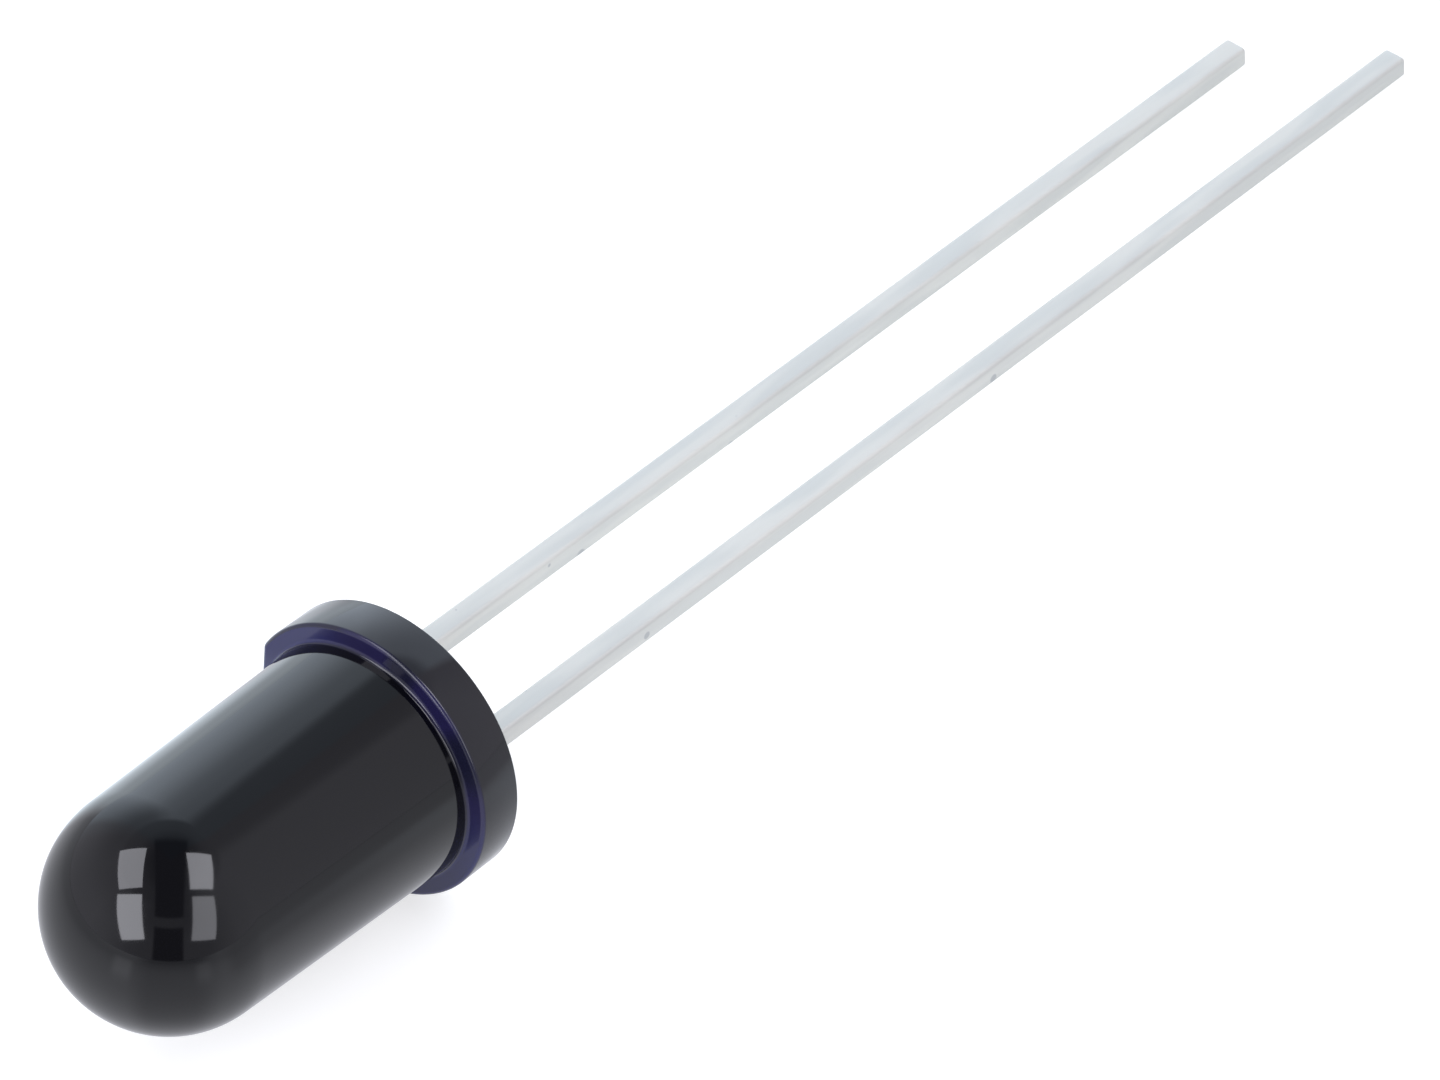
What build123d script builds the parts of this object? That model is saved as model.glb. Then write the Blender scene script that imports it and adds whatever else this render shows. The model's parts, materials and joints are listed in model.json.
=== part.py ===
from build123d import *
from math import asin, cos, radians, sin, sqrt
import os

# Through-hole photodiode: a domed 5 mm resin body moulded round a two-piece stamped lead frame.
# The part lies as it comes to rest, on the rear rim of its flange and on the tips of both leads.
# Origin: centre of the seating face, where the leads leave the resin. +Z is up, and the optical axis
# runs along +X, leaning up by the small angle at which the part rests. All sizes are in millimetres.

# Lens body
body_height = 8.9  # seating face to the top of the dome
barrel_diameter = 5.0  # where the barrel meets the flange
barrel_draft = 1.0  # degrees, to let the body out of its mould
flange_thickness = 1.0
flange_overhang = 0.4  # the flange stands out from the barrel by this much
flat_overhang = 0.1  # the ledge that the cathode flat leaves of that overhang
flange_edge_share = 0.8  # rounding of the flange's front edge, as a share of that ledge
flat_corner_radius = 0.2  # rounding where the flat meets the round rim
creep_height = 0.15  # resin drawn down each lead before it cured
creep_width = 0.14  # width of that resin at the seating face
creep_lip = 0.02  # and at its lower end

# Leads, cut from strip as thick as the lead is wide
lead_pitch = 2.54
lead_width = 0.5
lead_corner_radius = 0.09
lead_tip_share = 0.9  # chamfer round the tips, as a share of that radius
cathode_lead_length = 27.5  # seating face to tip
anode_lead_length = 29.5

# Lead frame inside the resin, with heights above the seating face
anchor_bottom = 1.3  # both posts widen here, which locks them in the resin
anchor_top = 2.9
anchor_reach = 0.4  # the anchors stand out from the leads, towards the rim
cathode_anchor_inner_reach = 0.7  # and the cathode's towards the middle
paddle_top = 4.4  # the paddle carries the chip on the optical axis
paddle_width = 1.5
paddle_thickness = 0.4
anode_head_top = 4.1  # the anode post's head takes the bond wire
anode_head_height = 0.55
anode_head_width = 0.75
frame_gap = 0.35  # resin between the paddle and the anode post's head

# Chip, its adhesive and its bond wire
chip_width = 1.1
chip_thickness = 0.28
adhesive_margin = 0.05  # the adhesive shows round the chip by this much
adhesive_thickness = 0.05
wire_diameter = 0.05
wire_loop_height = 0.45  # above the chip
wire_bend_radius = 0.12
bond_pad_inset = 0.2  # the ball sits this far in from the chip's edge
bond_ball_diameter = 0.14
bond_ball_height = 0.05
stitch_diameter = 0.12
stitch_height = 0.03

# Sizes and heights that follow from those
barrel_radius = barrel_diameter / 2
flange_radius = barrel_radius + flange_overhang
flat_distance = barrel_radius + flat_overhang
flange_edge_radius = flange_edge_share * flat_overhang
lead_tip_chamfer = lead_tip_share * lead_corner_radius
cathode_x = -lead_pitch / 2
anode_x = lead_pitch / 2
lead_half = lead_width / 2
paddle_half = paddle_width / 2
paddle_bottom = paddle_top - paddle_thickness
chip_bottom = paddle_top + adhesive_thickness
chip_top = chip_bottom + chip_thickness
anode_head_x = paddle_half + frame_gap + anode_head_width / 2
bond_x = chip_width / 2 - bond_pad_inset

# The dome is a sphere that meets the drafted barrel without a crease, and passes through the top.
draft_sine = sin(radians(barrel_draft))
draft_cosine = cos(radians(barrel_draft))
barrel_height = body_height - flange_thickness
dome_radius = (barrel_radius * draft_cosine - barrel_height * draft_sine) / (1 - draft_sine)
dome_centre = body_height - dome_radius
dome_start = (dome_radius * draft_cosine, dome_centre + dome_radius * draft_sine)


def resting_angles():
    """Lean of the optical axis out of the horizontal, and roll about it, both in radians.

    The rear rim of the flange and the tips of both leads reach the same level. The longer lead's
    side is rolled up, so that the shorter one comes down too.
    """
    mean_reach = (cathode_lead_length + anode_lead_length) / 2 - lead_tip_chamfer
    rise = 0.0
    for _ in range(20):
        side = rise * (anode_lead_length - cathode_lead_length) / lead_pitch
        top = sqrt(1 - rise**2 - side**2)
        lead_drop = (lead_half - lead_corner_radius) * (abs(side) + top)
        lead_drop += lead_corner_radius * sqrt(side**2 + top**2)
        rise = (flange_radius * sqrt(1 - rise**2) - lead_drop) / mean_reach
    return asin(rise), asin(side / sqrt(1 - rise**2))


lean, roll = resting_angles()
optical_direction = Vector(cos(lean), 0, sin(lean))
row_direction = Vector(-sin(roll) * sin(lean), cos(roll), sin(roll) * cos(lean))

# The seating plane looks along the optical axis, with its x along the row of leads, cathode first.
# The frame plane holds that axis and the row, and is where the frame's strip has its middle.
seating_plane = Plane(origin=(0, 0, 0), x_dir=row_direction, z_dir=optical_direction)
frame_plane = Plane(origin=(0, 0, 0), x_dir=row_direction, z_dir=-seating_plane.y_dir)
optical_axis = Axis((0, 0, 0), optical_direction)
row_axis = Axis((0, 0, 0), row_direction)

os.makedirs("parts", exist_ok=True)

# Cathode lead: the post widens to an anchor, and then to the paddle that carries the chip.
with BuildPart() as cathode_lead:
    with BuildSketch(seating_plane):
        with Locations((cathode_x, 0)):
            RectangleRounded(lead_width, lead_width, lead_corner_radius)
    extrude(amount=-cathode_lead_length)
    tip = cathode_lead.faces().sort_by(optical_axis)[0]
    chamfer(tip.edges(), lead_tip_chamfer)
    with BuildSketch(frame_plane):
        with BuildLine():
            Polyline(
                (cathode_x - lead_half, 0),
                (cathode_x - lead_half, anchor_bottom),
                (cathode_x - lead_half - anchor_reach, anchor_bottom),
                (cathode_x - lead_half - anchor_reach, anchor_top),
                (-paddle_half, paddle_bottom),
                (paddle_half, paddle_bottom),
                (cathode_x + lead_half + cathode_anchor_inner_reach, anchor_top),
                (cathode_x + lead_half + cathode_anchor_inner_reach, anchor_bottom),
                (cathode_x + lead_half, anchor_bottom),
                (cathode_x + lead_half, 0),
                close=True,
            )
        make_face()
    extrude(amount=lead_half, both=True)
    with BuildSketch(seating_plane.offset(paddle_bottom)):
        Rectangle(paddle_width, paddle_width)
    extrude(amount=paddle_thickness)
cathode_lead.part.label = "cathode_lead"
export_step(cathode_lead.part, "parts/cathode_lead.step")

# Anode lead: its post widens to an anchor too, and ends in the head that takes the bond wire.
with BuildPart() as anode_lead:
    with BuildSketch(seating_plane):
        with Locations((anode_x, 0)):
            RectangleRounded(lead_width, lead_width, lead_corner_radius)
    extrude(amount=-anode_lead_length)
    tip = anode_lead.faces().sort_by(optical_axis)[0]
    chamfer(tip.edges(), lead_tip_chamfer)
    with BuildSketch(frame_plane):
        with Locations((anode_x, 0)):
            Rectangle(lead_width, anode_head_top, align=(Align.CENTER, Align.MIN))
        with Locations((anode_x - lead_half, anchor_bottom)):
            Rectangle(lead_width + anchor_reach, anchor_top - anchor_bottom, align=Align.MIN)
        with Locations((anode_head_x, anode_head_top)):
            Rectangle(anode_head_width, anode_head_height, align=(Align.CENTER, Align.MAX))
    extrude(amount=lead_half, both=True)
anode_lead.part.label = "anode_lead"
export_step(anode_lead.part, "parts/anode_lead.step")

# Adhesive under the chip, and the chip on it
with BuildPart() as die_adhesive:
    with BuildSketch(seating_plane.offset(paddle_top)):
        Rectangle(chip_width + 2 * adhesive_margin, chip_width + 2 * adhesive_margin)
    extrude(amount=adhesive_thickness)
die_adhesive.part.label = "die_adhesive"
export_step(die_adhesive.part, "parts/die_adhesive.step")

with BuildPart() as photodiode_chip:
    with BuildSketch(seating_plane.offset(chip_bottom)):
        Rectangle(chip_width, chip_width)
    extrude(amount=chip_thickness)
photodiode_chip.part.label = "photodiode_chip"
export_step(photodiode_chip.part, "parts/photodiode_chip.step")

# Bond wire: a ball on the chip, a loop, and a stitch on the anode post's head
with BuildPart() as bond_wire:
    with BuildSketch(seating_plane.offset(chip_top)):
        with Locations((bond_x, 0)):
            Circle(bond_ball_diameter / 2)
    extrude(amount=bond_ball_height)
    with BuildSketch(seating_plane.offset(anode_head_top)):
        with Locations((anode_head_x, 0)):
            Circle(stitch_diameter / 2)
    extrude(amount=stitch_height)
    with BuildLine(frame_plane):
        FilletPolyline(
            (bond_x, chip_top),
            (bond_x, chip_top + wire_loop_height),
            (anode_head_x, chip_top),
            (anode_head_x, anode_head_top),
            radius=wire_bend_radius,
        )
    with BuildSketch(seating_plane.offset(chip_top)):
        with Locations((bond_x, 0)):
            Circle(wire_diameter / 2)
    sweep()
bond_wire.part.label = "bond_wire"
export_step(bond_wire.part, "parts/bond_wire.step")

# Lens body: flange, drafted barrel and dome in one moulding, with the cathode flat on the flange
with BuildPart() as lens_body:
    with BuildSketch(frame_plane):
        with BuildLine():
            outline = Polyline(
                (0, 0),
                (flange_radius, 0),
                (flange_radius, flange_thickness),
                (barrel_radius, flange_thickness),
                dome_start,
            )
            RadiusArc(outline @ 1, (0, body_height), -dome_radius)
            Line((0, body_height), (0, 0))
        make_face()
    revolve(axis=optical_axis)

    with BuildSketch(seating_plane):
        with Locations((-flat_distance, 0)):
            Rectangle(flange_overhang, 2 * flange_radius, align=(Align.MAX, Align.CENTER))
    extrude(amount=flange_thickness, mode=Mode.SUBTRACT)
    flat_corners = lens_body.edges().filter_by(optical_axis).sort_by(row_axis)[:2]
    fillet(flat_corners, flat_corner_radius)
    flange_front = lens_body.faces().filter_by(GeomType.PLANE).sort_by(optical_axis)[-1]
    fillet(flange_front.outer_wire().edges(), flange_edge_radius)

    for lead_x in (cathode_x, anode_x):
        with BuildSketch(seating_plane):
            with Locations((lead_x, 0)):
                RectangleRounded(
                    lead_width + 2 * creep_width,
                    lead_width + 2 * creep_width,
                    lead_corner_radius + creep_width,
                )
        with BuildSketch(seating_plane.offset(-creep_height)):
            with Locations((lead_x, 0)):
                RectangleRounded(
                    lead_width + 2 * creep_lip,
                    lead_width + 2 * creep_lip,
                    lead_corner_radius + creep_lip,
                )
        loft()

    # The resin takes the exact form of what it was moulded round.
    add([cathode_lead.part, anode_lead.part], mode=Mode.SUBTRACT)
    add([die_adhesive.part, photodiode_chip.part, bond_wire.part], mode=Mode.SUBTRACT)
lens_body.part.label = "lens_body"
export_step(lens_body.part, "parts/lens_body.step")
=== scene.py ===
"""Dresses a through-hole photodiode, lying at rest on a studio floor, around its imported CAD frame.

Sizes in the dataclasses are in millimetres. Meshes are drawn upright, with the optical axis along Z and
the row of leads along X, and are then laid down into the row frame in metres.
"""

import json
import logging
import math
from dataclasses import dataclass
from enum import Enum
from typing import Any

import bmesh
import bpy
from mathutils import Matrix, Vector, noise


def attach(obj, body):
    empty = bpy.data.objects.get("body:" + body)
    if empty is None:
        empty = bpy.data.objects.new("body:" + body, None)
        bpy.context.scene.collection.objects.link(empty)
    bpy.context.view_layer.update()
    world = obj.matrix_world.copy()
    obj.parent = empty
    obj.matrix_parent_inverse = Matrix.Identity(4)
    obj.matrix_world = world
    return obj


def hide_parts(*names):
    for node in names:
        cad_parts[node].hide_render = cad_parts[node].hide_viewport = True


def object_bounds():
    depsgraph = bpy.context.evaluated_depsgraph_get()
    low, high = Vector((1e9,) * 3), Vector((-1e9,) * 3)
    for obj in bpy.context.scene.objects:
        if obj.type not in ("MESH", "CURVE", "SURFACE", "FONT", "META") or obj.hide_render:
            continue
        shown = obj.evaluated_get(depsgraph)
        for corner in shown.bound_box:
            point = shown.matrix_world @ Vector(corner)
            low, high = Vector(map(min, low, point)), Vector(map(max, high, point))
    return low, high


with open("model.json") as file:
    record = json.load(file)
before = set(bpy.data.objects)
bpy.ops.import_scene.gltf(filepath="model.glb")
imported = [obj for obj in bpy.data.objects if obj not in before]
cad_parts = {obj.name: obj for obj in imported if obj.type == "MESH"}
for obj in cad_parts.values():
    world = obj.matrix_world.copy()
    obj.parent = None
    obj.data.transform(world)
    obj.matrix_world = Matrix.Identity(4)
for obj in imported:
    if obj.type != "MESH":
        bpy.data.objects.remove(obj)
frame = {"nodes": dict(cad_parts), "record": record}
CAD_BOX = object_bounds()

MM = 0.001
# In millimetres: what is this near a height is on it, and a cut snaps to vertices this near.
CLOSE = 1e-5
SNAP = 1e-6
LOG = logging.getLogger("photodiode")

Triple = tuple[float, float, float]
Colour = Triple
Span = tuple[float, float]
Sector = tuple[float, float, float, float]
Socket = bpy.types.NodeSocket
Vert = bmesh.types.BMVert
Edge = bmesh.types.BMEdge
Face = bmesh.types.BMFace
Thing = bpy.types.Object
Inputs = dict[str | int, Any]


@dataclass(frozen=True)
class RestingPose:
    """How the part lies: its optical axis leans up from +X, and its row of leads rolls about that axis."""

    roll_degrees: float = 4.192691
    seating_mount: str = "seating_face"

    def matrix(self) -> Matrix:
        """Turn an upright drawing in millimetres into the row frame in metres.

        Returns:
            The 4x4 matrix from the drawing to the row frame.
        """
        mount = next(m for m in frame["record"]["mounts"] if m["name"] == self.seating_mount)
        axis = -Vector(mount["axis"]).normalized()
        level = Vector((0.0, 0.0, 1.0)).cross(axis).normalized()
        row = Matrix.Rotation(math.radians(self.roll_degrees), 3, axis) @ level
        depth = axis.cross(row)
        turned = Matrix((row, depth, axis)).transposed().to_4x4()
        return Matrix.Translation(Vector(mount["pos_m"])) @ turned @ Matrix.Scale(MM, 4)


POSE = RestingPose()


def direction(azimuth: float, elevation: float) -> Vector:
    """Give the unit vector at an azimuth and an elevation in degrees."""
    turn, climb = math.radians(azimuth), math.radians(elevation)
    flat = math.cos(climb)
    return Vector((flat * math.cos(turn), flat * math.sin(turn), math.sin(climb)))


def place(name: str, data: Any, matrix: Matrix | None = None) -> Thing:
    """Put a mesh, a lamp or a camera into the scene, at the origin if there is no matrix."""
    made = bpy.data.objects.new(name, data)
    if matrix is not None:
        made.matrix_world = matrix
    bpy.context.scene.collection.objects.link(made)
    return made


def opaque(colour: Any) -> Any:
    """Give a three-part colour its alpha of 1, and leave anything else as it is."""
    return (*colour, 1.0) if isinstance(colour, tuple) and len(colour) == 3 else colour


class NodeSheet:
    """Adds nodes to one node tree and links them."""

    def __init__(self, tree: bpy.types.NodeTree) -> None:
        """Take over a shader, world or group tree and empty it."""
        self.tree = tree
        tree.nodes.clear()

    def add(self, kind: str, inputs: Inputs | None = None, **settings: Any) -> bpy.types.Node:
        """Add one node.

        Args:
            kind: the node's type name, without the ShaderNode prefix.
            inputs: a value or an output socket for each named or numbered input.
            settings: attributes of the node itself.

        Returns:
            The new node.
        """
        name = kind if kind.startswith("NodeGroup") else "ShaderNode" + kind
        node = self.tree.nodes.new(name)
        for key, value in settings.items():
            setattr(node, key, value)
        for key, value in (inputs or {}).items():
            self.feed(node.inputs[key], value)
        return node

    def feed(self, socket: Socket, value: Any) -> None:
        """Link an output to an input socket, or set the socket's own value."""
        if isinstance(value, Socket):
            self.tree.links.new(value, socket)
        else:
            socket.default_value = value

    def math(self, operation: str, first: Any, second: Any = 0.0) -> Socket:
        """Add a Math node and give its result."""
        return self.add("Math", {0: first, 1: second}, operation=operation).outputs[0]

    def times(self, first: Any, second: Any) -> Socket:
        """Multiply two values."""
        return self.math("MULTIPLY", first, second)

    def plus(self, first: Any, second: Any) -> Socket:
        """Add two values."""
        return self.math("ADD", first, second)

    def most(self, first: Any, second: Any) -> Socket:
        """Give the greater of two values."""
        return self.math("MAXIMUM", first, second)

    def split(self, vector: Socket) -> Any:
        """Give the X, Y and Z outputs of a vector."""
        return self.add("SeparateXYZ", {"Vector": vector}).outputs

    def length(self, vector: Socket) -> Socket:
        """Give the length of a vector."""
        return self.add("VectorMath", {0: vector}, operation="LENGTH").outputs["Value"]

    def step(self, value: Any, low: float, high: float, bottom: float = 0.0, top: float = 1.0) -> Socket:
        """Add a smooth step from bottom, where the value is low, to top, where it is high."""
        limits = {"Value": value, "From Min": low, "From Max": high, "To Min": bottom, "To Max": top}
        return self.add("MapRange", limits, interpolation_type="SMOOTHSTEP").outputs["Result"]

    def fall(self, value: Any, low: float, high: float) -> Socket:
        """Add a smooth step down from 1 to 0."""
        return self.step(value, low, high, 1.0, 0.0)

    def band(self, value: Any, edges: Sector) -> Socket:
        """Mask a band by where it starts, is full, starts to end and has ended."""
        start, full, ending, ended = edges
        return self.times(self.step(value, start, full), self.fall(value, ending, ended))

    def sector(self, turn: Socket, edges: Sector) -> Socket:
        """Mask a sector: a band of directions in radians whose edges are in degrees."""
        return self.band(turn, tuple(map(math.radians, edges)))

    def mix(self, share: Any, first: Any, second: Any) -> Socket:
        """Mix two colours, of which the second counts by the share."""
        node = self.add("Mix", data_type="RGBA")
        for label, value in (("Factor", share), ("A", opaque(first)), ("B", opaque(second))):
            self.feed(node.inputs[label], value)
        return node.outputs["Result"]

    def blend(self, share: Any, first: Any, second: Any) -> Socket:
        """Mix two numbers, of which the second counts by the share."""
        return self.add("Mix", {0: share, 2: first, 3: second}, data_type="FLOAT").outputs[0]

    def upright(self) -> Socket:
        """Give the point in the upright drawing, in millimetres, from Object coordinates."""
        there = POSE.matrix().inverted()
        inputs = {
            "Vector": self.add("TexCoord").outputs["Object"],
            "Location": there.to_translation(),
            "Rotation": there.to_euler(),
            "Scale": there.to_scale(),
        }
        return self.add("Mapping", inputs, vector_type="POINT").outputs["Vector"]


class SharedEffects:
    """Node groups that several finishes place with their own values."""

    swell_detail: float = 1.0
    grain_detail: float = 3.0
    speck_softness: float = 0.02

    def __init__(self) -> None:
        """Build the groups once."""
        self.unevenness = self._unevenness()
        self.specks = self._specks()

    @staticmethod
    def _open(name: str, inputs: tuple[str, ...], outputs: tuple[str, ...]) -> tuple[NodeSheet, Any, Any]:
        """Start a group that takes a point and values, and puts out values.

        Args:
            name: the group's name.
            inputs: the names of the values it takes.
            outputs: the names of the values it puts out.

        Returns:
            The group's sheet, the sockets of its inputs and those of its outputs.
        """
        tree = bpy.data.node_groups.new(name, "ShaderNodeTree")
        tree.interface.new_socket(name="Point", in_out="INPUT", socket_type="NodeSocketVector")
        for side, labels in (("INPUT", inputs), ("OUTPUT", outputs)):
            for label in labels:
                tree.interface.new_socket(name=label, in_out=side, socket_type="NodeSocketFloat")
        sheet = NodeSheet(tree)
        return sheet, sheet.add("NodeGroupInput").outputs, sheet.add("NodeGroupOutput").inputs

    def _unevenness(self) -> bpy.types.NodeTree:
        """Long swells with a share of fine grain on them, put out as their sum and as the swells alone."""
        names = ("Swells", "Grain", "Grain Share")
        sheet, given, result = self._open("Surface unevenness", names, ("Height", "Swell"))
        point = given["Point"]
        swell, grain = (
            sheet.add("TexNoise", {"Vector": point, "Scale": given[name], "Detail": detail}).outputs["Fac"]
            for name, detail in (("Swells", self.swell_detail), ("Grain", self.grain_detail))
        )
        sheet.feed(result["Height"], sheet.plus(swell, sheet.times(grain, given["Grain Share"])))
        sheet.feed(result["Swell"], swell)
        return sheet.tree

    def _specks(self) -> bpy.types.NodeTree:
        """Scattered round specks, such as stains and flakes, put out as a mask."""
        sheet, given, result = self._open("Scattered specks", ("Density", "Size"), ("Mask",))
        cells = sheet.add("TexVoronoi", {"Vector": given["Point"], "Scale": given["Density"]}).outputs
        inside = sheet.math("SUBTRACT", sheet.times(cells["Color"], given["Size"]), cells["Distance"])
        sheet.feed(result["Mask"], sheet.step(inside, 0.0, self.speck_softness))
        return sheet.tree


def new_material(label: str) -> tuple[bpy.types.Material, NodeSheet]:
    """Make a material, and give it with the sheet of its node tree."""
    material = bpy.data.materials.new(label)
    material.use_nodes = True
    return material, NodeSheet(material.node_tree)


@dataclass(frozen=True)
class Ground:
    """What a finish is laid on: its sheet, the upright point, the unevenness and the shared groups."""

    sheet: NodeSheet
    point: Socket
    uneven: Any
    effects: SharedEffects

    def scatter(self, density: float, size: float) -> Socket:
        """Place the specks and give their mask."""
        inputs = {"Point": self.point, "Density": density, "Size": size}
        return self.sheet.add("Group", inputs, node_tree=self.effects.specks).outputs["Mask"]


@dataclass(frozen=True)
class Grain:
    """A surface's unevenness, its depth in millimetres, and the roughness over a range of its height."""

    swells_per_mm: float
    grain_per_mm: float
    grain_share: float
    depth: float
    height_range: Span
    roughness: Span
    stretch: float = 1.0


@dataclass(frozen=True)
class Finish:
    """What all finishes of the part share: roughness and bump that follow one unevenness."""

    label: str
    grain: Grain

    def material(self, effects: SharedEffects) -> bpy.types.Material:
        """Build the material.

        Args:
            effects: the shared node groups.

        Returns:
            The material.
        """
        material, sheet = new_material(self.label)
        grain, point = self.grain, sheet.upright()
        drawn = sheet.add("Mapping", {"Vector": point, "Scale": (1.0, 1.0, grain.stretch)})
        values = {
            "Point": drawn.outputs["Vector"],
            "Swells": grain.swells_per_mm,
            "Grain": grain.grain_per_mm,
            "Grain Share": grain.grain_share,
        }
        uneven = sheet.add("Group", values, node_tree=effects.unevenness).outputs
        looks = self.looks(Ground(sheet, point, uneven, effects))
        if "Roughness" not in looks:
            looks["Roughness"] = sheet.step(uneven["Height"], *grain.height_range, *grain.roughness)
        bump = sheet.add("Bump", {"Height": uneven["Height"], "Distance": grain.depth * MM})
        shader = sheet.add("BsdfPrincipled", looks | {"Normal": bump.outputs["Normal"]})
        sheet.add("OutputMaterial", {"Surface": shader.outputs["BSDF"]})
        return material

    def looks(self, ground: Ground) -> Inputs:
        """Say what the shader's sockets get, apart from the bump.

        Args:
            ground: what the finish is laid on.

        Returns:
            A value or an output socket for each named input.
        """
        raise NotImplementedError


@dataclass(frozen=True)
class DyedResin(Finish):
    """Glossy black dyed epoxy, which shows indigo where the flange lets light through. Painted light makes
    that indigo lighter at the sides of the flange, and painted shade darkens it in patches near the front
    and on one side of the outer edge.
    """

    label: str = "dyed_resin"
    grain: Grain = Grain(0.9, 14.0, 0.02, 0.0016, (0.3, 0.7), (0.035, 0.075))
    deep: Colour = (0.0019, 0.0019, 0.0030)
    thin: Colour = (0.017, 0.0145, 0.062)
    # Painted light: the lighter indigo on the sides of the flange face, away from the front direction.
    painted_side_light: Colour = (0.016, 0.018, 0.104)
    # Painted shade: the duller, darker indigo in the patches of the flange face.
    painted_shade: Colour = (0.0098, 0.0107, 0.0245)
    rim: Colour = (0.0105, 0.0100, 0.0135)
    # The front direction of the drawing, in degrees; the painted side light grows between the side angles
    # from it.
    front_degrees: float = 54.9
    side_light_degrees: Span = (42.0, 72.0)
    # Sectors of the flange face, in degrees, that get the painted shade; the swells shift their edges by the
    # drift.
    patches: tuple[Sector, Sector] = ((13.0, 27.0, 40.0, 50.0), (66.0, 74.0, 80.0, 88.0))
    shade_share: float = 0.85
    shade_drift: float = 0.08
    rim_radius: Span = (2.60, 2.80)
    thin_radius: Span = (2.48, 2.56)
    thin_height: Sector = (0.90, 0.985, 1.05, 1.10)
    edge_radius: Span = (2.81, 2.85)
    # Painted shade: in this sector the outer edge turns towards the rim colour by the share.
    edge_shade_sector: Sector = (104.0, 112.0, 150.0, 158.0)
    edge_shade_share: float = 0.7
    toe_radius: Span = (2.56, 2.60)
    worn_roughness: float = 0.24
    refraction: float = 1.55

    def looks(self, ground: Ground) -> Inputs:
        """Say what the shader's sockets get, apart from the bump.

        Args:
            ground: what the finish is laid on.

        Returns:
            A value or an output socket for each named input.
        """
        sheet, uneven = ground.sheet, ground.uneven
        parts = sheet.split(ground.point)
        across = sheet.add("CombineXYZ", {"X": parts["X"], "Y": parts["Y"]}).outputs["Vector"]
        radius = sheet.length(across)
        face = sheet.times(sheet.step(radius, *self.thin_radius), sheet.band(parts["Z"], self.thin_height))
        edge = sheet.step(radius, *self.edge_radius)
        turn = sheet.math("ARCTAN2", parts["Y"], parts["X"])
        turn = sheet.plus(turn, sheet.times(uneven["Swell"], self.shade_drift))
        shade = sheet.most(*(sheet.sector(turn, edges) for edges in self.patches))
        ahead = math.radians(self.front_degrees)
        toward = (math.cos(ahead), math.sin(ahead), 0.0)
        front = sheet.add("VectorMath", {0: across, 1: toward}, operation="DOT_PRODUCT").outputs["Value"]
        front = sheet.math("DIVIDE", front, radius)
        near, far = (math.cos(math.radians(side)) for side in self.side_light_degrees)
        # Painted light on the sides of the flange face, then painted shade in the patches and on one side of
        # the outer edge.
        thin = sheet.mix(sheet.step(front, far, near), self.painted_side_light, self.thin)
        thin = sheet.mix(sheet.times(shade, self.shade_share), thin, self.painted_shade)
        darker = sheet.times(sheet.sector(turn, self.edge_shade_sector), edge)
        thin = sheet.mix(sheet.times(darker, self.edge_shade_share), thin, self.rim)
        thick = sheet.mix(sheet.step(radius, *self.rim_radius), self.deep, self.rim)
        gloss = sheet.step(uneven["Swell"], *self.grain.height_range, *self.grain.roughness)
        worn = sheet.times(face, sheet.most(edge, sheet.fall(radius, *self.toe_radius)))
        return {
            "Base Color": sheet.mix(face, thick, thin),
            "Roughness": sheet.blend(worn, gloss, self.worn_roughness),
            "IOR": self.refraction,
        }


@dataclass(frozen=True)
class TinPlate(Finish):
    """Satin tin on the stamped leads, drawn along their length and a little stained."""

    label: str = "tin_plate"
    grain: Grain = Grain(3.0, 26.0, 0.25, 0.006, (0.3, 0.9), (0.56, 0.70), stretch=0.12)
    bright: Colour = (0.794, 0.785, 0.743)
    dull: Colour = (0.724, 0.718, 0.682)
    dull_range: Span = (0.35, 0.65)
    stain: Colour = (0.40, 0.41, 0.43)
    stain_share: float = 0.5
    stains_per_mm: float = 1.1
    stain_size: float = 0.16

    def looks(self, ground: Ground) -> Inputs:
        """Say what the shader's sockets get."""
        sheet = ground.sheet
        spots = ground.scatter(self.stains_per_mm, self.stain_size)
        patches = sheet.step(ground.uneven["Swell"], *self.dull_range)
        colour = sheet.mix(patches, self.dull, self.bright)
        return {
            "Base Color": sheet.mix(sheet.times(spots, self.stain_share), colour, self.stain),
            "Metallic": 1.0,
        }


@dataclass(frozen=True)
class SilverAdhesive(Finish):
    """Silver-filled epoxy, matt and flecked."""

    label: str = "silver_adhesive"
    grain: Grain = Grain(4.0, 60.0, 0.8, 0.004, (0.4, 1.2), (0.45, 0.65))
    binder: Colour = (0.30, 0.29, 0.27)
    flake: Colour = (0.62, 0.62, 0.61)
    flake_metal: float = 0.8
    flakes_per_mm: float = 30.0
    flake_size: float = 0.5

    def looks(self, ground: Ground) -> Inputs:
        """Say what the shader's sockets get."""
        flakes = ground.scatter(self.flakes_per_mm, self.flake_size)
        return {
            "Base Color": ground.sheet.mix(flakes, self.binder, self.flake),
            "Metallic": ground.sheet.times(flakes, self.flake_metal),
        }


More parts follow.
